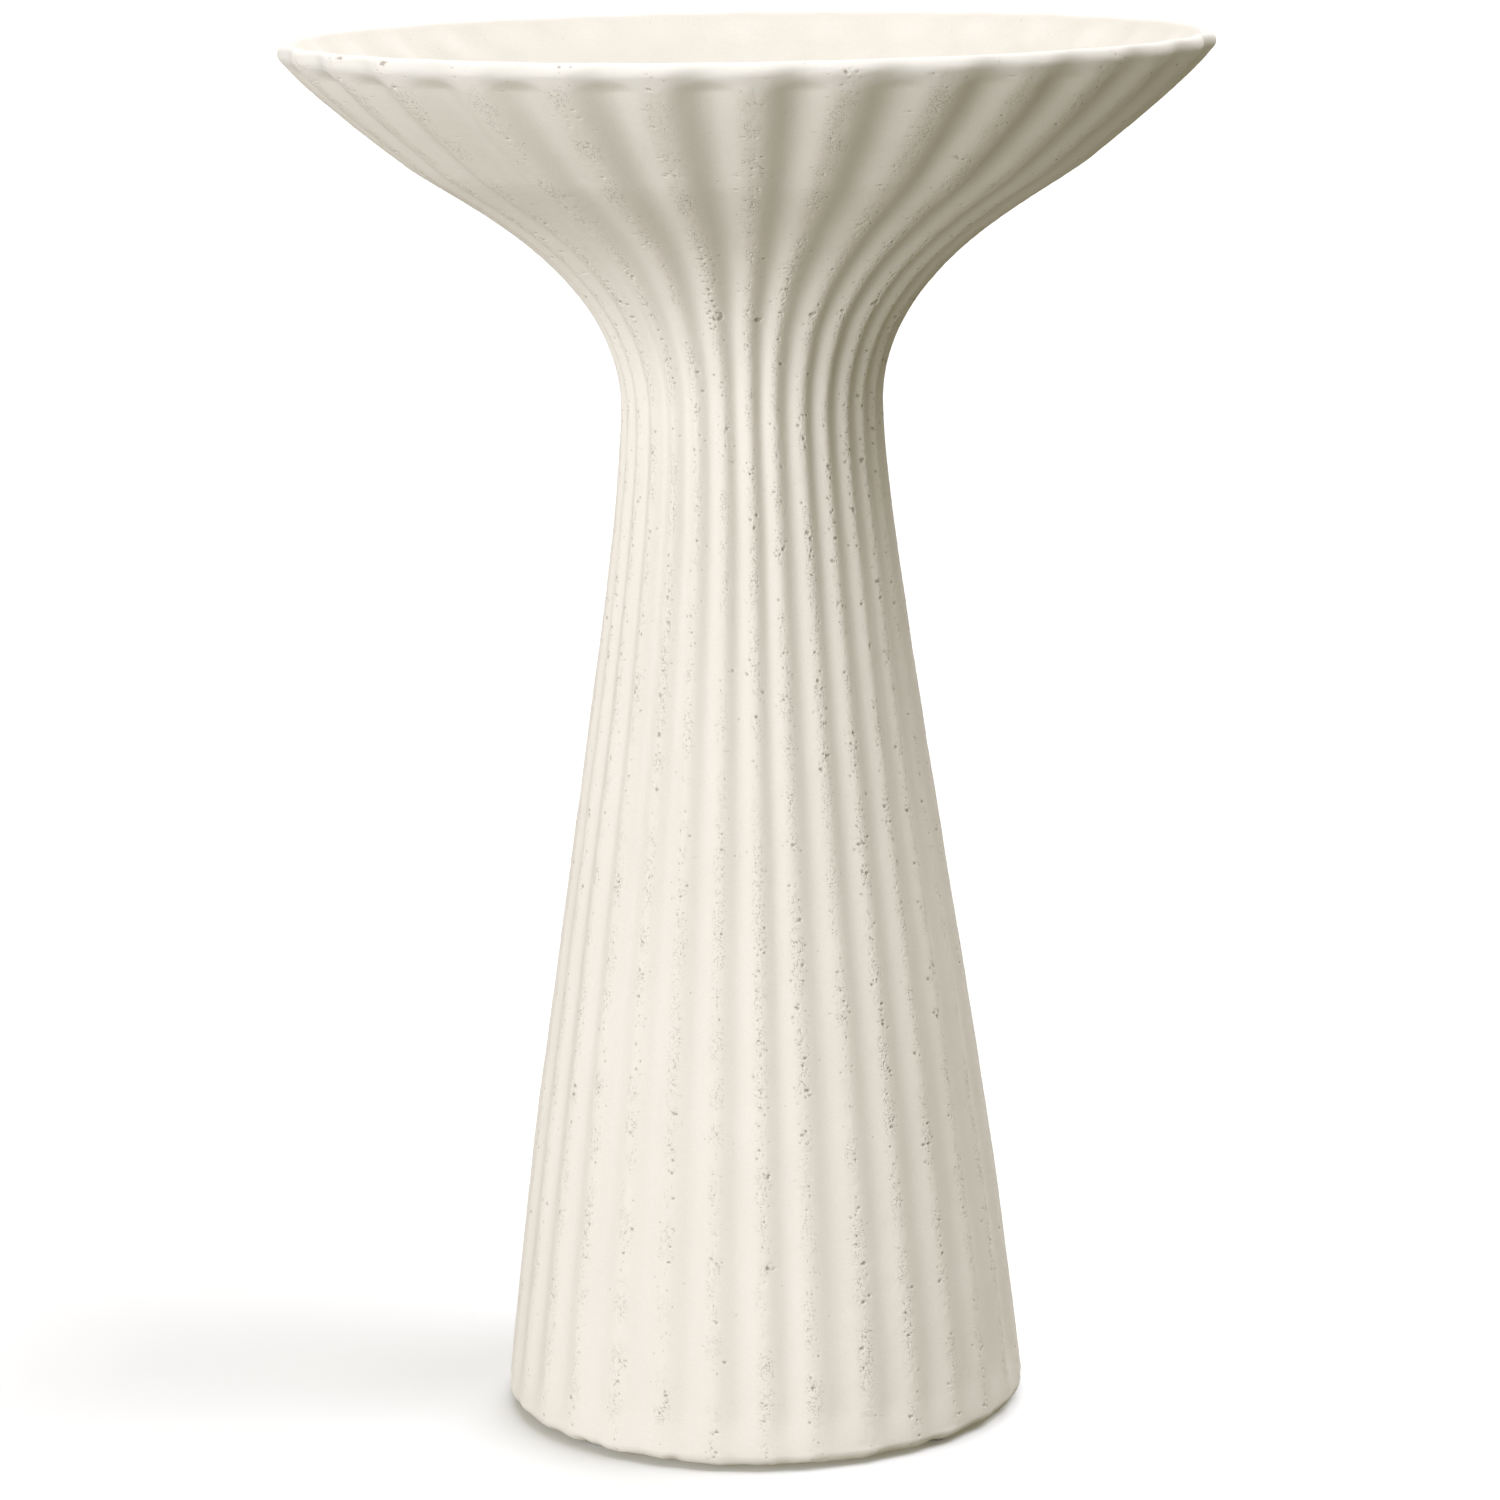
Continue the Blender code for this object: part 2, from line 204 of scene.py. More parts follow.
class Outline:
    """An outline put together from stretches, with what each of its points needs to be fluted and worn.

    Its table has a row for each point: radius, height, share of the flute depth, power of the flutes'
    wave (over 1 broadens the crests), wear (lumps, grit and pits) and the outward normal's two parts.
    """

    def __init__(self):
        self.rows = []

    def add(self, points, share=0.0, power=1.0, wear=0.0, skip=0):
        points = np.asarray(points, float)
        tangent = np.gradient(points, axis=0)
        tangent /= np.linalg.norm(tangent, axis=1)[:, None]
        ones = np.ones(len(points))
        rows = np.stack([points[:, 0], points[:, 1], ones * share, ones * power, ones * wear,
                         -tangent[:, 1], tangent[:, 0]], axis=1)
        self.rows.append(rows[skip:])

    def add_corners(self, corners, spacing):
        """Plain straight runs between corners, the first of which is already there."""
        for start, end in zip(corners, corners[1:]):
            count = max(2, int(round(math.dist(start, end) / spacing)) + 1)
            self.add(np.linspace(start, end, count), skip=1)

    def table(self):
        return np.concatenate(self.rows)


# ---------------------------------------------------------------- hand-made irregularity

def lattice_noise(points, cell, seed):
    """Smooth noise from -1 to 1, blended between random values on a lattice of the given cell."""
    scaled = points / cell
    base = np.floor(scaled).astype(np.int64)
    part = scaled - base
    part = part * part * (3 - 2 * part)
    total = np.zeros(points.shape[:-1])
    for corner in range(8):
        offset = np.array([corner & 1, corner >> 1 & 1, corner >> 2 & 1])
        node = base + offset
        key = (node[..., 0] * 73856093) ^ (node[..., 1] * 19349663) ^ (node[..., 2] * 83492791) ^ seed
        key = (key * 2654435761) & 0xFFFFFFFF
        key = ((key ^ (key >> 15)) * 2246822519) & 0xFFFFFFFF
        value = ((key ^ (key >> 13)) & 0xFFFFFF) / 0xFFFFFF * 2 - 1
        weight = np.prod(np.where(offset == 1, part, 1 - part), axis=-1)
        total += value * weight
    return total


def layered_noise(points, layers):
    """Sum of layers of noise, each with its cell, height and seed."""
    return sum(lattice_noise(points, cell, seed) * height for cell, height, seed in layers)


# Each flute leans and swells a little by hand
FLUTE_PITCH = 2 * math.pi / FLUTES
FLUTE_SHIFT = np.radians(rng.uniform(-0.6, 0.6, FLUTES))
FLUTE_SWELL = rng.uniform(0.86, 1.12, FLUTES)
CREST_ANGLES = np.arange(FLUTES) * FLUTE_PITCH + FLUTE_SHIFT


def flute_drift(height):
    """How far the flutes wander round the body with height, in radians."""
    return np.radians(np.interp(height, [0.0, 0.38, 0.43, 0.465, 0.50, HEIGHT],
                                [-0.5, -0.5, -1.3, -1.3, 0.3, 0.5]))


def flute_columns():
    """Angle from the front, phase within its flute (-0.5 to 0.5) and depth factor of every column."""
    even = (np.arange(COLUMNS_PER_FLUTE) + 0.5) / COLUMNS_PER_FLUTE - 0.5
    crowded = even * (CREST_CROWDING + (1 - CREST_CROWDING) * (2 * even) ** 2)
    flute = np.repeat(np.arange(FLUTES), COLUMNS_PER_FLUTE)
    phase = np.tile(crowded, FLUTES)
    beside = (flute + np.where(phase > 0, 1, -1)) % FLUTES
    away = np.abs(phase)
    lean = FLUTE_SHIFT[flute] * (1 - away) + FLUTE_SHIFT[beside] * away
    swell = FLUTE_SWELL[flute] * (1 - away) + FLUTE_SWELL[beside] * away
    return (flute + phase) * FLUTE_PITCH + lean, phase, swell


ANGLES, PHASE, SWELL = flute_columns()


class Pits:
    """Random pits on an outline, each an irregular dent made of a few overlapping round lobes."""

    EDGE_COLUMNS = 4
    PATCH_LENGTH = 0.022
    PATCH_SEED = 77

    def __init__(self, table):
        self.along = line_lengths(table[:, :2])
        self.radii = table[:, 0]
        self.depth = np.zeros((len(table), len(ANGLES)))

    def press(self, middle, flute, offset, radius, lobes):
        """Press one pit at a distance along the outline and a distance from a flute's crest."""
        self.press_lobe(middle, flute, offset, radius)
        for _ in range(lobes - 1):
            turn = rng.uniform(0, 2 * math.pi)
            away = radius * rng.uniform(0.5, 1.1)
            size = radius * rng.uniform(0.45, 0.8)
            self.press_lobe(middle + away * math.sin(turn), flute,
                            offset + 1.6 * away * math.cos(turn), size)

    def press_lobe(self, middle, flute, offset, radius):
        first = np.searchsorted(self.along, middle - radius)
        last = np.searchsorted(self.along, middle + radius)
        if last <= first or last >= len(self.along):
            return
        start = flute * COLUMNS_PER_FLUTE - self.EDGE_COLUMNS
        end = (flute + 1) * COLUMNS_PER_FLUTE + self.EDGE_COLUMNS
        columns = np.arange(start, end) % len(ANGLES)
        turn = (ANGLES[columns] - CREST_ANGLES[flute] + math.pi) % (2 * math.pi) - math.pi
        across = (turn * self.radii[first] - offset) / (radius * rng.uniform(1.0, 1.5))
        reach = (self.along[first:last] - middle) / radius
        inside = 1 - (across[None, :] ** 2 + reach[:, None] ** 2)
        dent = np.clip(inside, 0, 1) ** 0.7 * radius * rng.uniform(0.8, 1.25)
        window = np.ix_(np.arange(first, last), columns)
        self.depth[window] = np.maximum(self.depth[window], dent)

    def scatter(self, span, per_metre, stripe, sizes, lobes, patchiness):
        """Pits at random along every crest between two distances, thicker in some patches than others.

        stripe gives the spread from the crest at a distance, and sizes are the least, the usual extra
        and the greatest radius.
        """
        count = int((span[1] - span[0]) * per_metre) * FLUTES
        middles = rng.uniform(*span, count)
        flutes = rng.integers(0, FLUTES, count)
        offsets = rng.normal(0, 1, count)
        radii = np.minimum(sizes[0] + sizes[1] * rng.exponential(1.0, count), sizes[2])
        chances = rng.uniform(0, 1, count)
        spots = np.stack([middles / self.PATCH_LENGTH, flutes * 1.7, np.full(count, 3.3)], axis=-1)
        thickness = 0.5 + 0.5 * lattice_noise(spots, 1.0, self.PATCH_SEED)
        wanted = chances < (1 - patchiness) + 3.5 * patchiness * thickness ** 3
        for index in np.flatnonzero(wanted):
            middle = middles[index]
            self.press(middle, flutes[index], offsets[index] * stripe(middle), radii[index],
                       1 + rng.integers(0, lobes))

    def painted_shade(self):
        """How deep in a pit each point lies, from 0 to 1, which sets the pit's painted shade."""
        return np.clip(self.depth / FULL_PIT_SHADE_DEPTH, 0, 1)


# ---------------------------------------------------------------- castings

def outside_table():
    """The outside: over the lip's nose, down the bowl's wall and the column, and round the foot's edge."""
    line = Outline()
    part = np.linspace(0, 1, NOSE_ROWS)
    nose = [lip_point(math.pi * (1 - step) - WALL_TILT) for step in part]
    share = LIP_INNER_SHARE + (LIP_OUTER_SHARE - LIP_INNER_SHARE) * smooth_step(0.1, 1.0, part)
    line.add(nose, share, LIP_INNER_POWER - 0.7 * part, 0.5 + 0.3 * part)

    edge_top = FOOT_HEIGHT + FOOT_EDGE_RADIUS
    heights = np.linspace(WALL_TOP[1], edge_top, CREST_SAMPLES)
    crest = resample(np.stack([crest_radius(heights), heights], axis=1), ROW_SPACING)
    at_joint = np.argmin(np.abs(crest[:, 1] - JOINT_HEIGHT))
    crest[at_joint] = crest_radius(JOINT_HEIGHT), JOINT_HEIGHT
    height = crest[:, 1]
    below_lip = smooth_step(0.0, LIP_FADE, WALL_TOP[1] - height)
    above_foot = smooth_step(0.0, FOOT_FADE, height - edge_top)
    share = ((LIP_OUTER_SHARE + (1 - LIP_OUTER_SHARE) * below_lip)
             * (FOOT_EDGE_SHARE + (1 - FOOT_EDGE_SHARE) * above_foot))
    power = 1.0 + BOWL_EXTRA_POWER * smooth_step(0.48, 0.55, height)
    line.add(crest, share, power, 1.0, skip=1)

    middle = crest_radius(edge_top) - FOOT_EDGE_RADIUS
    turn = np.linspace(0, -math.pi / 2, FOOT_EDGE_ROWS)
    edge = np.stack([middle + FOOT_EDGE_RADIUS * np.cos(turn),
                     edge_top + FOOT_EDGE_RADIUS * np.sin(turn)], axis=1)
    line.add(edge, FOOT_EDGE_SHARE, 1.0, 1.0, skip=1)
    return line.table()


def basin_table():
    """The basin's surface from near its middle out to the lip."""
    line = Outline()
    basin = along_stretch(BASIN_STRETCH, BASIN_SAMPLES)
    on_floor = basin[:, 0] <= BASIN_FLOOR_RADIUS
    floor = resample(basin[on_floor], BASIN_FLOOR_SPACING)[1:-1]
    wall = resample(basin[~on_floor], BASIN_WALL_SPACING)[:-1]
    points = np.concatenate([floor, wall])
    reach = (points[:, 0] / BASIN_TOP[0]) ** BASIN_RISE
    at_lip = smooth_step(BASIN_TOP[0] - BASIN_FADE, BASIN_TOP[0], points[:, 0])
    share = BASIN_SHARE * reach * (1 - at_lip) + LIP_INNER_SHARE * at_lip
    line.add(points, share, BASIN_POWER, 0.5)
    return line.table()


def wave(power):
    """The flutes' wave, 0 on the crests and 1 in the valleys, for each row's power."""
    return ((1 - np.cos(2 * math.pi * PHASE)) / 2)[None, :] ** power


def ring_points(radius, height, angle):
    return np.stack([radius * np.sin(angle), -radius * np.cos(angle),
                     np.broadcast_to(height, angle.shape)], axis=-1)


def worn_surface(table, dents):
    """Points of the fluted, worn surface on an outline, and how much of a ridge each point is on."""
    radius, height, share, power, wear, out_radius, out_height = table.T[:, :, None]
    turned = ANGLES[None, :] + flute_drift(height)
    fluted = radius - flute_depth(height) * share * SWELL[None, :] * wave(power)
    place = ring_points(fluted, height, turned)
    crest = 1 - wave(np.ones_like(power))

    lumps = layered_noise(place, LUMPS) * MM
    grit = lattice_noise(place, GRIT_CELL, 14) * (GRIT_EVERYWHERE + GRIT_ON_CRESTS * crest ** 3) * MM
    foot = (1 - smooth_step(0.0, RAGGED_REACH, height - FOOT_HEIGHT)) * np.minimum(wear, 1)
    ledges = np.tanh(LEDGE_STEEPNESS * lattice_noise(place, LEDGE_CELL, 18)) * LEDGE_HEIGHT
    ragged = (layered_noise(place, RAGGED_LAYERS) + ledges) * MM
    chips = np.clip(lattice_noise(place, CHIP_CELL, 17) - CHIP_THRESHOLD, 0, 1) * CHIP_DEPTH * MM
    shift = (lumps + grit) * wear + foot * ragged - foot ** 2 * chips - dents

    worn_height = np.maximum(height + shift * out_height, np.minimum(height, FOOT_HEIGHT))
    return ring_points(fluted + shift * out_radius, worn_height, turned), crest * share


def plain_surface(table):
    """Rings on an outline with neither flutes nor wear."""
    height = table[:, 1:2]
    turned = ANGLES[None, :] + flute_drift(height)
    return ring_points(np.broadcast_to(table[:, :1], turned.shape), height, turned)


def closed_grid(name, points, ridge, pit, poles=False):
    """A closed mesh from rows of rings. Without poles, the last row joins the first."""
    rows, columns = points.shape[:2]
    row = np.arange(rows - 1 if poles else rows)[:, None]
    column = np.arange(columns)[None, :]
    below = (row + 1) % rows
    beside = (column + 1) % columns
    quads = np.stack([row * columns + column, below * columns + column,
                      below * columns + beside, row * columns + beside], axis=-1).reshape(-1, 4)
    vertices = [points.reshape(-1, 3)]
    loops = [quads.ravel()]
    sizes = [np.full(len(quads), 4)]
    if poles:
        pole = rows * columns
        near = np.arange(columns)
        far = (near + 1) % columns
        last = (rows - 1) * columns
        vertices.append([points[0].mean(axis=0), points[-1].mean(axis=0)])
        loops.append(np.stack([np.full(columns, pole), near, far], axis=1).ravel())
        loops.append(np.stack([np.full(columns, pole + 1), last + far, last + near], axis=1).ravel())
        sizes.append(np.full(2 * columns, 3))
    coordinates = np.concatenate(vertices)
    corners = np.concatenate(loops)
    face_sizes = np.concatenate(sizes)

    mesh = bpy.data.meshes.new(name)
    mesh.vertices.add(len(coordinates))
    mesh.vertices.foreach_set("co", coordinates.astype(np.float32).ravel())
    mesh.loops.add(len(corners))
    mesh.loops.foreach_set("vertex_index", corners.astype(np.int32))
    mesh.polygons.add(len(face_sizes))
    mesh.polygons.foreach_set("loop_start", (np.cumsum(face_sizes) - face_sizes).astype(np.int32))
    mesh.update(calc_edges=True)
    # The pit attribute carries how much painted shade each point of a pit gets
    for title, values in (("ridge", ridge), ("pit", pit)):
        layer = mesh.attributes.new(title, "FLOAT", "POINT")
        padded = np.zeros(len(coordinates), np.float32)
        padded[:values.size] = values.ravel()
        layer.data.foreach_set("value", padded)
    mesh.shade_smooth()
    mesh.set_sharp_from_angle(angle=SHARP_ANGLE)
    obj = bpy.data.objects.new(name, mesh)
    bpy.context.scene.collection.objects.link(obj)
    return obj


def pit_outside(table, joint_row):
    """Pits outside: fine ones all along the crests, and large ones at the lip, the joint and the foot."""
    pits = Pits(table)
    lip_end = pits.along[NOSE_ROWS - 1]
    at_joint = pits.along[joint_row]
    end = pits.along[-1]

    def stripe(distance):
        """Spread of the pits from a crest: wide on the bowl, narrow on the column."""
        return np.interp(distance, [lip_end, 0.6 * at_joint, at_joint, end],
                         [4.6 * MM, 2.8 * MM, 1.7 * MM, 1.9 * MM])

    pits.scatter((0.5 * lip_end, at_joint), 1900, stripe, FINE_PITS, 2, 0.9)
    pits.scatter((at_joint, end), 1050, stripe, FINE_PITS, 2, 0.9)
    pits.scatter((0.4 * lip_end, 1.8 * lip_end), 160, stripe, LARGE_PITS, 4, 0.5)
    pits.scatter((at_joint - 6 * MM, at_joint + 4 * MM), 200, stripe, LARGE_PITS, 4, 0.3)
    pits.scatter((lip_end, end), 9, stripe, LARGE_PITS, 4, 0.6)
    pits.scatter((end - 22 * MM, end), 45, stripe, LARGE_PITS, 4, 0.5)
    return pits


def pit_basin(table):
    """A few small pits scattered over the basin."""
    pits = Pits(table)
    pits.scatter((50 * MM, pits.along[-1]), 30, lambda distance: BASIN_PIT_SPREAD, BASIN_PITS, 2, 0.5)
    return pits


def bowl_underside(shoulder):
    """From inside the joint's edge: the land on the mortar bed, the spigot and the insert's pocket."""
    line = Outline()
    start = (shoulder - MM, JOINT_HEIGHT + GAP)
    line.add([(shoulder, JOINT_HEIGHT), start])
    line.add_corners([start, (LAND_RADIUS, JOINT_HEIGHT + GAP), (LAND_RADIUS, BED_CEILING),
                      (SPIGOT_RADIUS, BED_CEILING), (SPIGOT_RADIUS, SPIGOT_END),
                      (POCKET_RADIUS, SPIGOT_END), (POCKET_RADIUS, POCKET_CEILING),
                      (MM, POCKET_CEILING)], 3 * MM)
    return line.table()


def pedestal_inside(shoulder):
    """From inside the foot's edge: up the hollow, through the rod's hole and out over the socket."""
    socket_floor = JOINT_HEIGHT - SOCKET_DEPTH
    rest = JOINT_HEIGHT - 0.5 * GAP
    line = Outline()
    line.add([(HOLLOW_FOOT_RADIUS + 0.5 * MM, FOOT_HEIGHT), (HOLLOW_FOOT_RADIUS, FOOT_HEIGHT)])
    line.add_corners([(HOLLOW_FOOT_RADIUS, FOOT_HEIGHT), (HOLLOW_HEAD_RADIUS, HOLLOW_CEILING),
                      (ROD_HOLE_RADIUS, HOLLOW_CEILING), (ROD_HOLE_RADIUS, socket_floor),
                      (SOCKET_RADIUS, socket_floor), (SOCKET_RADIUS, rest), (shoulder, rest)], 5 * MM)
    return line.table()


def make_castings():
    outside = outside_table()
    joint_row = int(np.argmin(np.abs(outside[:, 1] - JOINT_HEIGHT)))
    outside_pits = pit_outside(outside, joint_row)
    points, ridge = worn_surface(outside, outside_pits.depth)
    pit = outside_pits.painted_shade()

    basin = basin_table()
    basin_pits = pit_basin(basin)
    basin_points, basin_ridge = worn_surface(basin, basin_pits.depth)

    shoulder = crest_radius(JOINT_HEIGHT) - 5 * MM
    under = plain_surface(bowl_underside(shoulder))
    bowl = closed_grid("bowl_casting",
                       np.concatenate([basin_points, points[:joint_row + 1], under]),
                       np.concatenate([0.3 * basin_ridge, ridge[:joint_row + 1]]),
                       np.concatenate([basin_pits.painted_shade(), pit[:joint_row + 1]]), poles=True)
    inside = plain_surface(pedestal_inside(shoulder))
    pedestal = closed_grid("pedestal_casting", np.concatenate([points[joint_row:], inside]),
                           ridge[joint_row:], pit[joint_row:])
    return bowl, pedestal


# ---------------------------------------------------------------- materials

CEMENT_DARK = (0.800, 0.755, 0.684)
CEMENT_PALE = (0.828, 0.788, 0.720)
CEMENT_STREAK = (0.780, 0.740, 0.674)
CEMENT_GRAIN = (0.66, 0.61, 0.53)
# Painted highlight: the flutes' crests a little paler and warmer, as where the light falls on them
CEMENT_CREST_HIGHLIGHT = (0.830, 0.774, 0.698)
# Painted highlight on the lip's rounded top
CEMENT_LIP_HIGHLIGHT = (0.880, 0.850, 0.805)
# Painted shade on the basin's upward-facing floor
BASIN_SHADE_COLOUR = (0.690, 0.650, 0.575)
# Painted shade inside the pits and pin holes
PIT_SHADE_COLOUR = (0.40, 0.355, 0.29)


def principled(name, colour, roughness, metallic=0.0, specular=0.5):
    material = bpy.data.materials.new(name)
    material.use_nodes = True
    shader = material.node_tree.nodes["Principled BSDF"]
    shader.inputs["Base Color"].default_value = (*colour, 1.0)
    shader.inputs["Roughness"].default_value = roughness
    shader.inputs["Metallic"].default_value = metallic
    shader.inputs["Specular IOR Level"].default_value = specular
    return material, shader


def add_node(material, kind, **inputs):
    node = material.node_tree.nodes.new(kind)
    for key, value in inputs.items():
        node.inputs[key].default_value = value
    return node


def link(material, out_socket, in_socket):
    material.node_tree.links.new(out_socket, in_socket)


def object_place(material, scale=(1.0, 1.0, 1.0)):
    """Position on the object, stretched by the scale."""
    place = material.node_tree.nodes.new("ShaderNodeTexCoord")
    mapping = add_node(material, "ShaderNodeMapping", Scale=scale)
    link(material, place.outputs["Object"], mapping.inputs["Vector"])
    return mapping.outputs["Vector"]


def noise(material, place, scale, detail=3.0, roughness=0.5):
    """A noise value at a place, scale in cycles per metre."""
    node = add_node(material, "ShaderNodeTexNoise", Scale=scale, Detail=detail, Roughness=roughness)
    link(material, place, node.inputs["Vector"])
    return node.outputs["Fac"]


def map_range(material, value, low, high, new_low, new_high, smooth=False):
    node = material.node_tree.nodes.new("ShaderNodeMapRange")
    if smooth:
        node.interpolation_type = "SMOOTHSTEP"
    link(material, value, node.inputs["Value"])
    for key, number in (("From Min", low), ("From Max", high), ("To Min", new_low), ("To Max", new_high)):
        node.inputs[key].default_value = number
    return node.outputs["Result"]


def mix_colours(material, factor, first, second):
    """A colour mix whose ends are colours or sockets."""
    node = material.node_tree.nodes.new("ShaderNodeMix")
    node.data_type = "RGBA"
    link(material, factor, node.inputs["Factor"])
    for socket, value in ((node.inputs[6], first), (node.inputs[7], second)):
        if isinstance(value, tuple):
            socket.default_value = (*value, 1.0)
        else:
            link(material, value, socket)
    return node.outputs[2]


def calculate(material, operation, first, second):
    node = material.node_tree.nodes.new("ShaderNodeMath")
    node.operation = operation
    for socket, value in ((node.inputs[0], first), (node.inputs[1], second)):
        if isinstance(value, (int, float)):
            socket.default_value = value
        else:
            link(material, value, socket)
    return node.outputs["Value"]


def attribute(material, name):
    node = material.node_tree.nodes.new("ShaderNodeAttribute")
    node.attribute_name = name
    return node.outputs["Fac"]


def add_bump(material, shader, height, strength, distance):
    bump = add_node(material, "ShaderNodeBump", Strength=strength, Distance=distance)
    link(material, height, bump.inputs["Height"])
    link(material, bump.outputs["Normal"], shader.inputs["Normal"])


def pin_holes(material, place, scale, radius, chance):
    """Round holes in some of a Voronoi texture's cells: 1 in a hole's middle, 0 outside it."""
    cells = add_node(material, "ShaderNodeTexVoronoi", Scale=scale)
    link(material, place, cells.inputs["Vector"])
    hole = map_range(material, cells.outputs["Distance"], radius * 0.4, radius, 1.0, 0.0, smooth=True)
    parts = material.node_tree.nodes.new("ShaderNodeSeparateColor")
    link(material, cells.outputs["Color"], parts.inputs["Color"])
    chosen = calculate(material, "LESS_THAN", parts.outputs["Red"], chance)
    return calculate(material, "MULTIPLY", hole, chosen)


def distance_from_axis(material, place):
    """How far a place lies from the upright axis."""
    level = material.node_tree.nodes.new("ShaderNodeVectorMath")
    level.operation = "MULTIPLY"
    level.inputs[1].default_value = (1.0, 1.0, 0.0)
    link(material, place, level.inputs[0])
    length = material.node_tree.nodes.new("ShaderNodeVectorMath")
    length.operation = "LENGTH"
    link(material, level.outputs["Vector"], length.inputs[0])
    return length.outputs["Value"]


def upward_faces(material):
    """1 where the surface faces up, 0 where it is upright or faces down."""
    facing = material.node_tree.nodes.new("ShaderNodeTexCoord")
    parts = material.node_tree.nodes.new("ShaderNodeSeparateXYZ")
    link(material, facing.outputs["Normal"], parts.inputs["Vector"])
    return map_range(material, parts.outputs["Z"], 0.2, 0.5, 0.0, 1.0)


def cement_holes(material, place, on_ridge):
    """Pin holes that gather in patches on the flutes' crests, with a few strays elsewhere."""
    ridge = map_range(material, on_ridge, 0.55, 0.97, 0.0, 1.0, smooth=True)
    patches = map_range(material, noise(material, place, 70.0, 2.0), 0.42, 0.60, 0.0, 1.0)
    gathered = calculate(material, "MULTIPLY", ridge, patches)
    fine = pin_holes(material, place, 1500.0, 0.42, 0.45)
    medium = pin_holes(material, place, 800.0, 0.36, 0.22)
    stray = pin_holes(material, place, 420.0, 0.16, 0.03)
    holes = calculate(material, "MULTIPLY", calculate(material, "MAXIMUM", fine, medium), gathered)
    return calculate(material, "MAXIMUM", holes, stray)


def cement_material():
    """Off-white cast fibre cement: mottled, streaked and grained, with pits and pin holes.

    Crests are painted a little paler and warmer as a painted highlight, the lip is painted paler as a
    painted highlight, the basin's upward floor is darkened with painted shade, and the pits and pin holes
    are darkened with painted shade.
    """
    material, shader = principled("fibre_cement", (0.80, 0.75, 0.68), 0.9, specular=0.25)
    place = object_place(material)
    clouds = noise(material, place, 11.0, 4.0, 0.55)
    mottle = map_range(material, clouds, 0.35, 0.65, 0.0, 1.0)
    tone = mix_colours(material, mottle, CEMENT_DARK, CEMENT_PALE)
    upright = object_place(material, (1.0, 1.0, 0.25))
    streaks = map_range(material, noise(material, upright, 60.0), 0.45, 0.75, 0.0, 0.5)
    tone = mix_colours(material, streaks, tone, CEMENT_STREAK)
    grain = noise(material, place, 1100.0, 2.0, 0.6)
    tone = mix_colours(material, map_range(material, grain, 0.35, 0.75, 0.0, 0.22), tone, CEMENT_GRAIN)

    on_ridge = attribute(material, "ridge")
    # Crests painted paler and warmer: a painted highlight
    tone = mix_colours(material, map_range(material, on_ridge, 0.2, 1.0, 0.0, 0.5), tone, CEMENT_CREST_HIGHLIGHT)
    from_axis = distance_from_axis(material, place)
    # The lip's band painted paler: a painted highlight
    lip_highlight = map_range(material, from_axis, RIM_RADIUS - 2.1 * LIP_RADIUS, RIM_RADIUS - 1.3 * LIP_RADIUS,
                     0.0, 0.6, smooth=True)
    tone = mix_colours(material, lip_highlight, tone, CEMENT_LIP_HIGHLIGHT)
    # The basin's upward floor darkened towards its middle: painted shade
    across = map_range(material, from_axis, 0.105, 0.150, 0.75, 0.0, smooth=True)
    basin_shade = calculate(material, "MULTIPLY", across, upward_faces(material))
    basin_shade = calculate(material, "MULTIPLY", basin_shade, map_range(material, clouds, 0.3, 0.7, 0.7, 1.0))
    tone = mix_colours(material, basin_shade, tone, BASIN_SHADE_COLOUR)

    holes = cement_holes(material, place, on_ridge)
    pit = map_range(material, attribute(material, "pit"), 0.4, 1.0, 0.0, 0.75)
    # Pits and pin holes darkened inside: painted shade
    pit_shade = calculate(material, "MAXIMUM", pit, calculate(material, "MULTIPLY", holes, 0.33))
    link(material, mix_colours(material, pit_shade, tone, PIT_SHADE_COLOUR), shader.inputs["Base Color"])
    link(material, map_range(material, grain, 0.3, 0.7, 0.84, 0.96), shader.inputs["Roughness"])

    grains = calculate(material, "MULTIPLY", grain, 0.16)
    ripples = calculate(material, "MULTIPLY", noise(material, place, 260.0, 2.0), 0.35)
    height = calculate(material, "SUBTRACT", calculate(material, "ADD", grains, ripples), holes)
    add_bump(material, shader, height, 0.9, 0.35 * MM)
    return material


def mortar_material():
    material, shader = principled("mortar", (0.66, 0.62, 0.55), 0.95, specular=0.2)
    sand = noise(material, object_place(material), 1500.0, 3.0, 0.7)
    colour = mix_colours(material, map_range(material, sand, 0.35, 0.65, 0.0, 1.0),
                         (0.55, 0.51, 0.45), (0.74, 0.70, 0.63))
    link(material, colour, shader.inputs["Base Color"])
    add_bump(material, shader, sand, 0.7, 0.4 * MM)
    return material


def metal_material(name, colour, dull_colour, roughness, streak):
    """Plated or drawn metal: spangled tone, uneven gloss and fine marks."""
    material, shader = principled(name, colour, roughness, metallic=1.0)
    spangle = add_node(material, "ShaderNodeTexVoronoi", Scale=420.0)
    link(material, object_place(material), spangle.inputs["Vector"])
    parts = material.node_tree.nodes.new("ShaderNodeSeparateColor")
    link(material, spangle.outputs["Color"], parts.inputs["Color"])
    dulled = map_range(material, parts.outputs["Red"], 0.0, 1.0, 0.0, 0.6)
    tone = mix_colours(material, dulled, colour, dull_colour)
    link(material, tone, shader.inputs["Base Color"])
    marks = noise(material, object_place(material, streak), 300.0)
    link(material, map_range(material, marks, 0.3, 0.7, roughness - 0.1, roughness + 0.15),
         shader.inputs["Roughness"])
    add_bump(material, shader, marks, 0.25, 0.1 * MM)
    return material


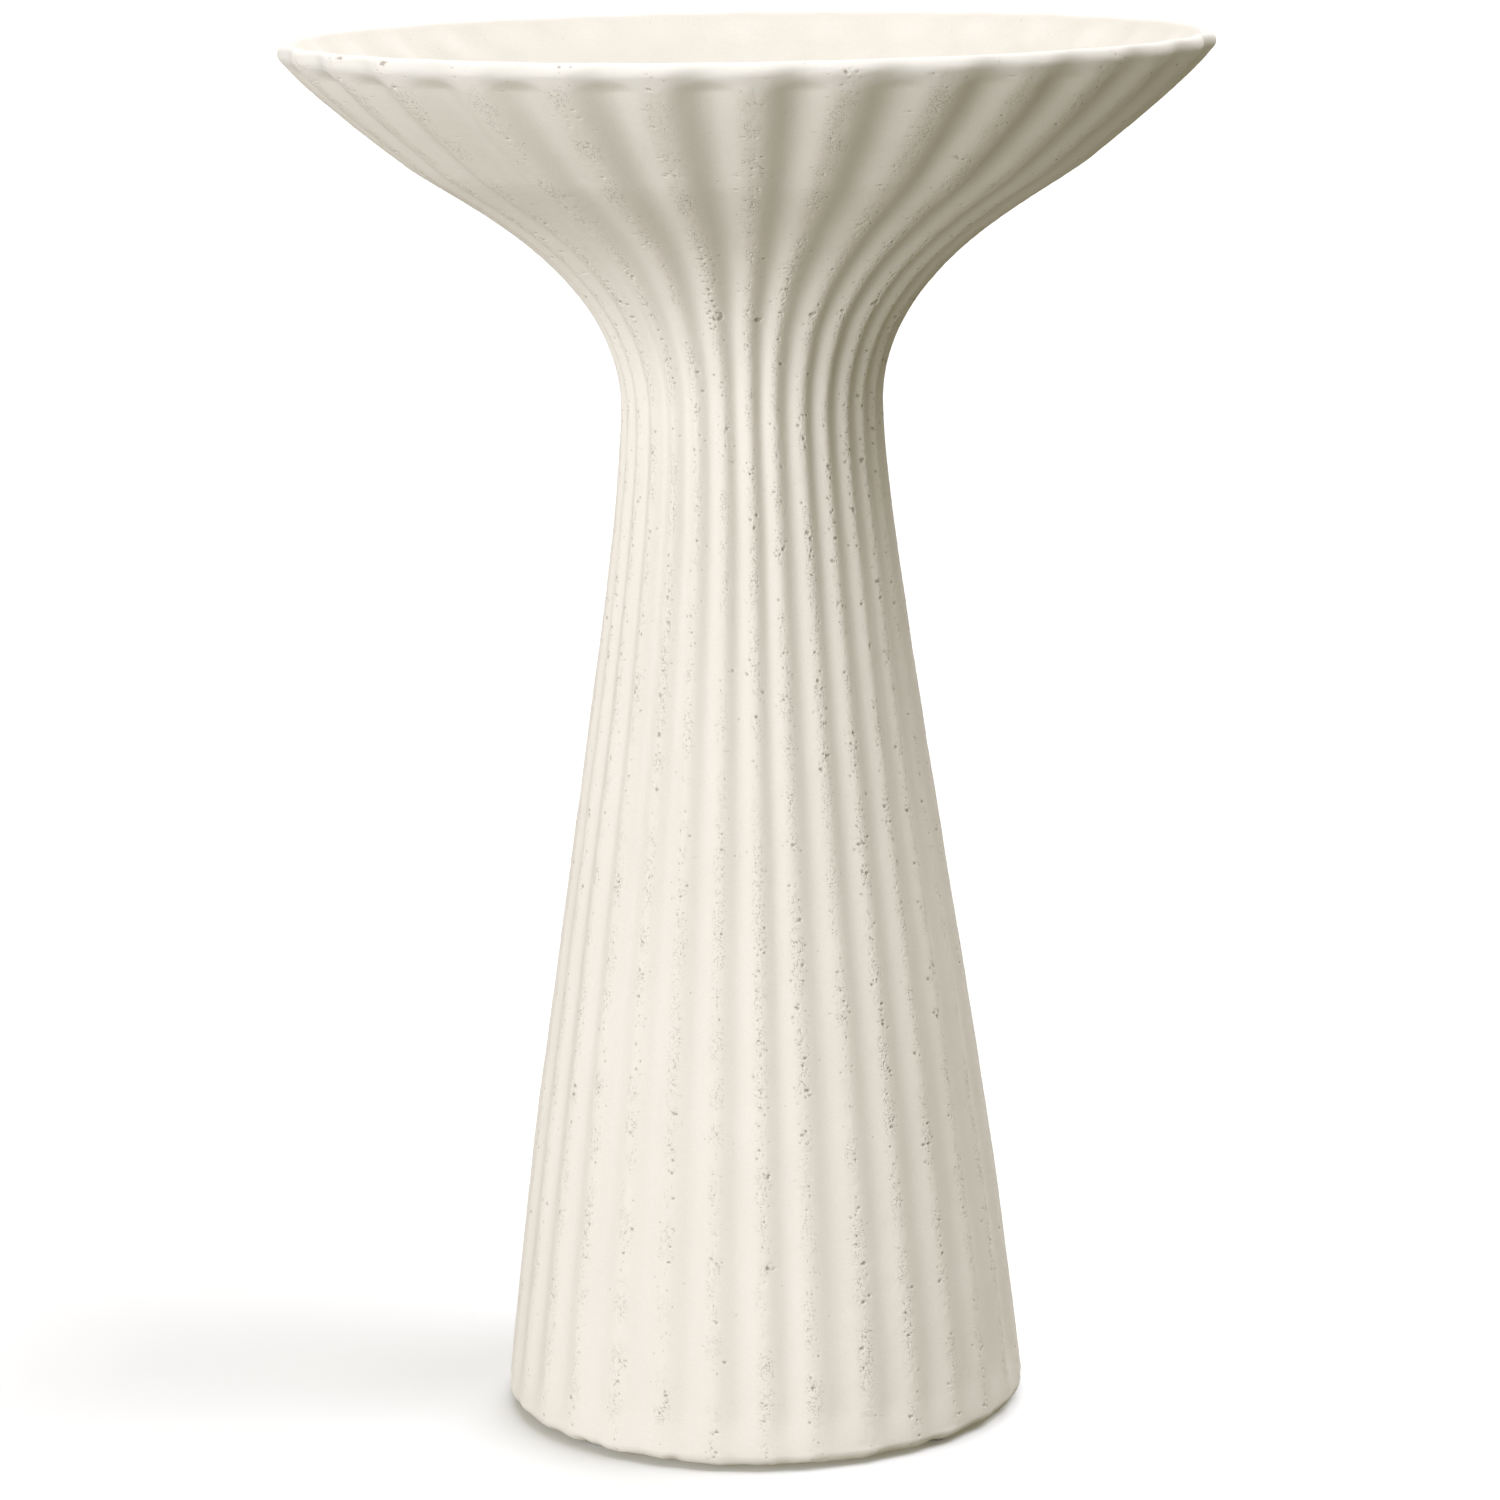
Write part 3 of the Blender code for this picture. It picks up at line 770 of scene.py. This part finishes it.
def rubber_material():
    """Dusty grey rubber."""
    material, shader = principled("rubber", (0.30, 0.29, 0.27), 0.8, specular=0.4)
    place = object_place(material)
    dust = noise(material, place, 250.0, 4.0, 0.6)
    colour = mix_colours(material, map_range(material, dust, 0.45, 0.75, 0.0, 0.5),
                         (0.26, 0.25, 0.24), (0.42, 0.40, 0.37))
    link(material, colour, shader.inputs["Base Color"])
    grain = noise(material, place, 2500.0, 2.0)
    link(material, map_range(material, grain, 0.3, 0.7, 0.7, 0.92), shader.inputs["Roughness"])
    add_bump(material, shader, grain, 0.4, 0.2 * MM)
    return material


# Colour, dull colour, roughness and the stretch of the fine marks
METAL_LOOKS = {
    "brass": ((0.72, 0.52, 0.22), (0.50, 0.35, 0.15), 0.38, (1, 1, 12)),
    "zinc_steel": ((0.62, 0.63, 0.65), (0.42, 0.44, 0.47), 0.40, (1, 1, 1)),
    "stainless": ((0.68, 0.68, 0.68), (0.55, 0.55, 0.56), 0.30, (1, 1, 0.05)),
}


def dress(obj, material):
    """Give every slot of an object the material."""
    if not obj.material_slots:
        obj.data.materials.append(material)
    for slot in obj.material_slots:
        slot.material = material


# ---------------------------------------------------------------- studio

CAMERA_DISTANCE = 2.012
CAMERA_HEIGHT = 0.688
CAMERA_PITCH = 11.437
CAMERA_ROLL = -0.864
CAMERA_YAW = 0.082
CAMERA_LENS = 116.8
SENSOR = 36.0
FLOOR_TONE = (0.92, 0.92, 0.92)
WORLD_STRENGTH = 0.245
WORLD_COLOUR = (1.0, 0.937, 0.626, 1.0)
LIGHT_COLOUR = (0.915, 0.925, 1.0)
LIGHT_SPREAD = 42
BOX_DISTANCE = 2.0
BOX_SIZE = 1.2
BACKDROP_RADIUS = 18.0
BACKDROP_HEIGHT = 24.0


def make_camera():
    data = bpy.data.cameras.new("camera")
    data.lens = CAMERA_LENS
    data.sensor_width = SENSOR
    data.clip_end = 30.0
    camera = bpy.data.objects.new("camera", data)
    bpy.context.scene.collection.objects.link(camera)
    camera.matrix_world = (Matrix.Translation((0, -CAMERA_DISTANCE, CAMERA_HEIGHT))
                           @ Matrix.Rotation(math.radians(CAMERA_YAW), 4, "Z")
                           @ Matrix.Rotation(math.radians(90 - CAMERA_PITCH), 4, "X")
                           @ Matrix.Rotation(math.radians(CAMERA_ROLL), 4, "Z"))
    bpy.context.scene.camera = camera


def add_light(name, kind, energy):
    data = bpy.data.lights.new(name, kind)
    data.energy = energy
    data.color = LIGHT_COLOUR
    light = bpy.data.objects.new(name, data)
    bpy.context.scene.collection.objects.link(light)
    return light


def soft_light(name, azimuth, elevation, strength):
    """A broad distant light. Its azimuth is in degrees from the front, positive to the right."""
    light = add_light(name, "SUN", strength * math.pi)
    light.data.angle = math.radians(LIGHT_SPREAD)
    turn = math.radians(azimuth)
    rise = math.radians(elevation)
    towards = Vector((math.sin(turn) * math.cos(rise), -math.cos(turn) * math.cos(rise), math.sin(rise)))
    light.rotation_euler = towards.to_track_quat("Z", "Y").to_euler()


def soft_box(name, azimuth, height, power):
    """A round soft box aimed at the object. A low one also lights the bowl from below."""
    light = add_light(name, "AREA", power)
    light.data.shape = "DISK"
    light.data.size = BOX_SIZE
    turn = math.radians(azimuth)
    light.location = (BOX_DISTANCE * math.sin(turn), -BOX_DISTANCE * math.cos(turn), height)
    towards = light.location - Vector((0, 0, 0.6 * HEIGHT))
    light.rotation_euler = towards.to_track_quat("Z", "Y").to_euler()


def make_floor():
    """A plain pale floor, which takes the shadow and throws no light back at the object."""
    bpy.ops.mesh.primitive_plane_add(size=40.0)
    floor = bpy.context.active_object
    floor.name = "floor"
    floor.visible_diffuse = False
    material, shader = principled("floor", FLOOR_TONE, 0.95, specular=0.05)
    clouds = noise(material, object_place(material), 3.0)
    paler = tuple(1.02 * part for part in FLOOR_TONE)
    tone = mix_colours(material, map_range(material, clouds, 0.3, 0.7, 0.0, 1.0), FLOOR_TONE, paler)
    link(material, tone, shader.inputs["Base Color"])
    dress(floor, material)


def make_backdrop():
    """A pale wall far behind the object on every side. It only shows, and neither lights nor shades."""
    bpy.ops.mesh.primitive_cylinder_add(vertices=96, radius=BACKDROP_RADIUS, depth=BACKDROP_HEIGHT,
                                        end_fill_type="NOTHING")
    backdrop = bpy.context.active_object
    backdrop.name = "backdrop"
    backdrop.location.z = BACKDROP_HEIGHT / 2 - 0.1
    backdrop.visible_diffuse = False
    backdrop.visible_glossy = False
    backdrop.visible_transmission = False
    backdrop.visible_shadow = False
    material, shader = principled("backdrop", FLOOR_TONE, 0.95, specular=0.0)
    shader.inputs["Emission Color"].default_value = (1.0, 1.0, 1.0, 1.0)
    shader.inputs["Emission Strength"].default_value = 1.0
    dress(backdrop, material)


def make_studio():
    scene = bpy.context.scene
    scene.view_settings.view_transform = "Standard"
    world = bpy.data.worlds.new("world")
    scene.world = world
    world.use_nodes = True
    background = world.node_tree.nodes["Background"]
    background.inputs["Color"].default_value = WORLD_COLOUR
    background.inputs["Strength"].default_value = WORLD_STRENGTH
    soft_box("front_box", -25, 0.30, 21.0)
    soft_light("left", -50, 12, 0.62)
    soft_light("right", 80, 60, 0.74)
    soft_light("back", 180, 45, 0.60)
    make_floor()
    make_backdrop()


# ---------------------------------------------------------------- assembly

def main():
    make_camera()
    make_studio()
    cement = cement_material()
    for piece, node in zip(make_castings(), ("bowl", "pedestal")):
        dress(piece, cement)
        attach(piece, "root")
        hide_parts(node)

    looks = {name: metal_material(name, *look) for name, look in METAL_LOOKS.items()}
    looks["mortar"] = mortar_material()
    looks["rubber"] = rubber_material()
    for part in frame["record"]["subparts"]:
        if part["material_slot"] in looks:
            dress(frame["nodes"][part["node"]], looks[part["material_slot"]])


main()
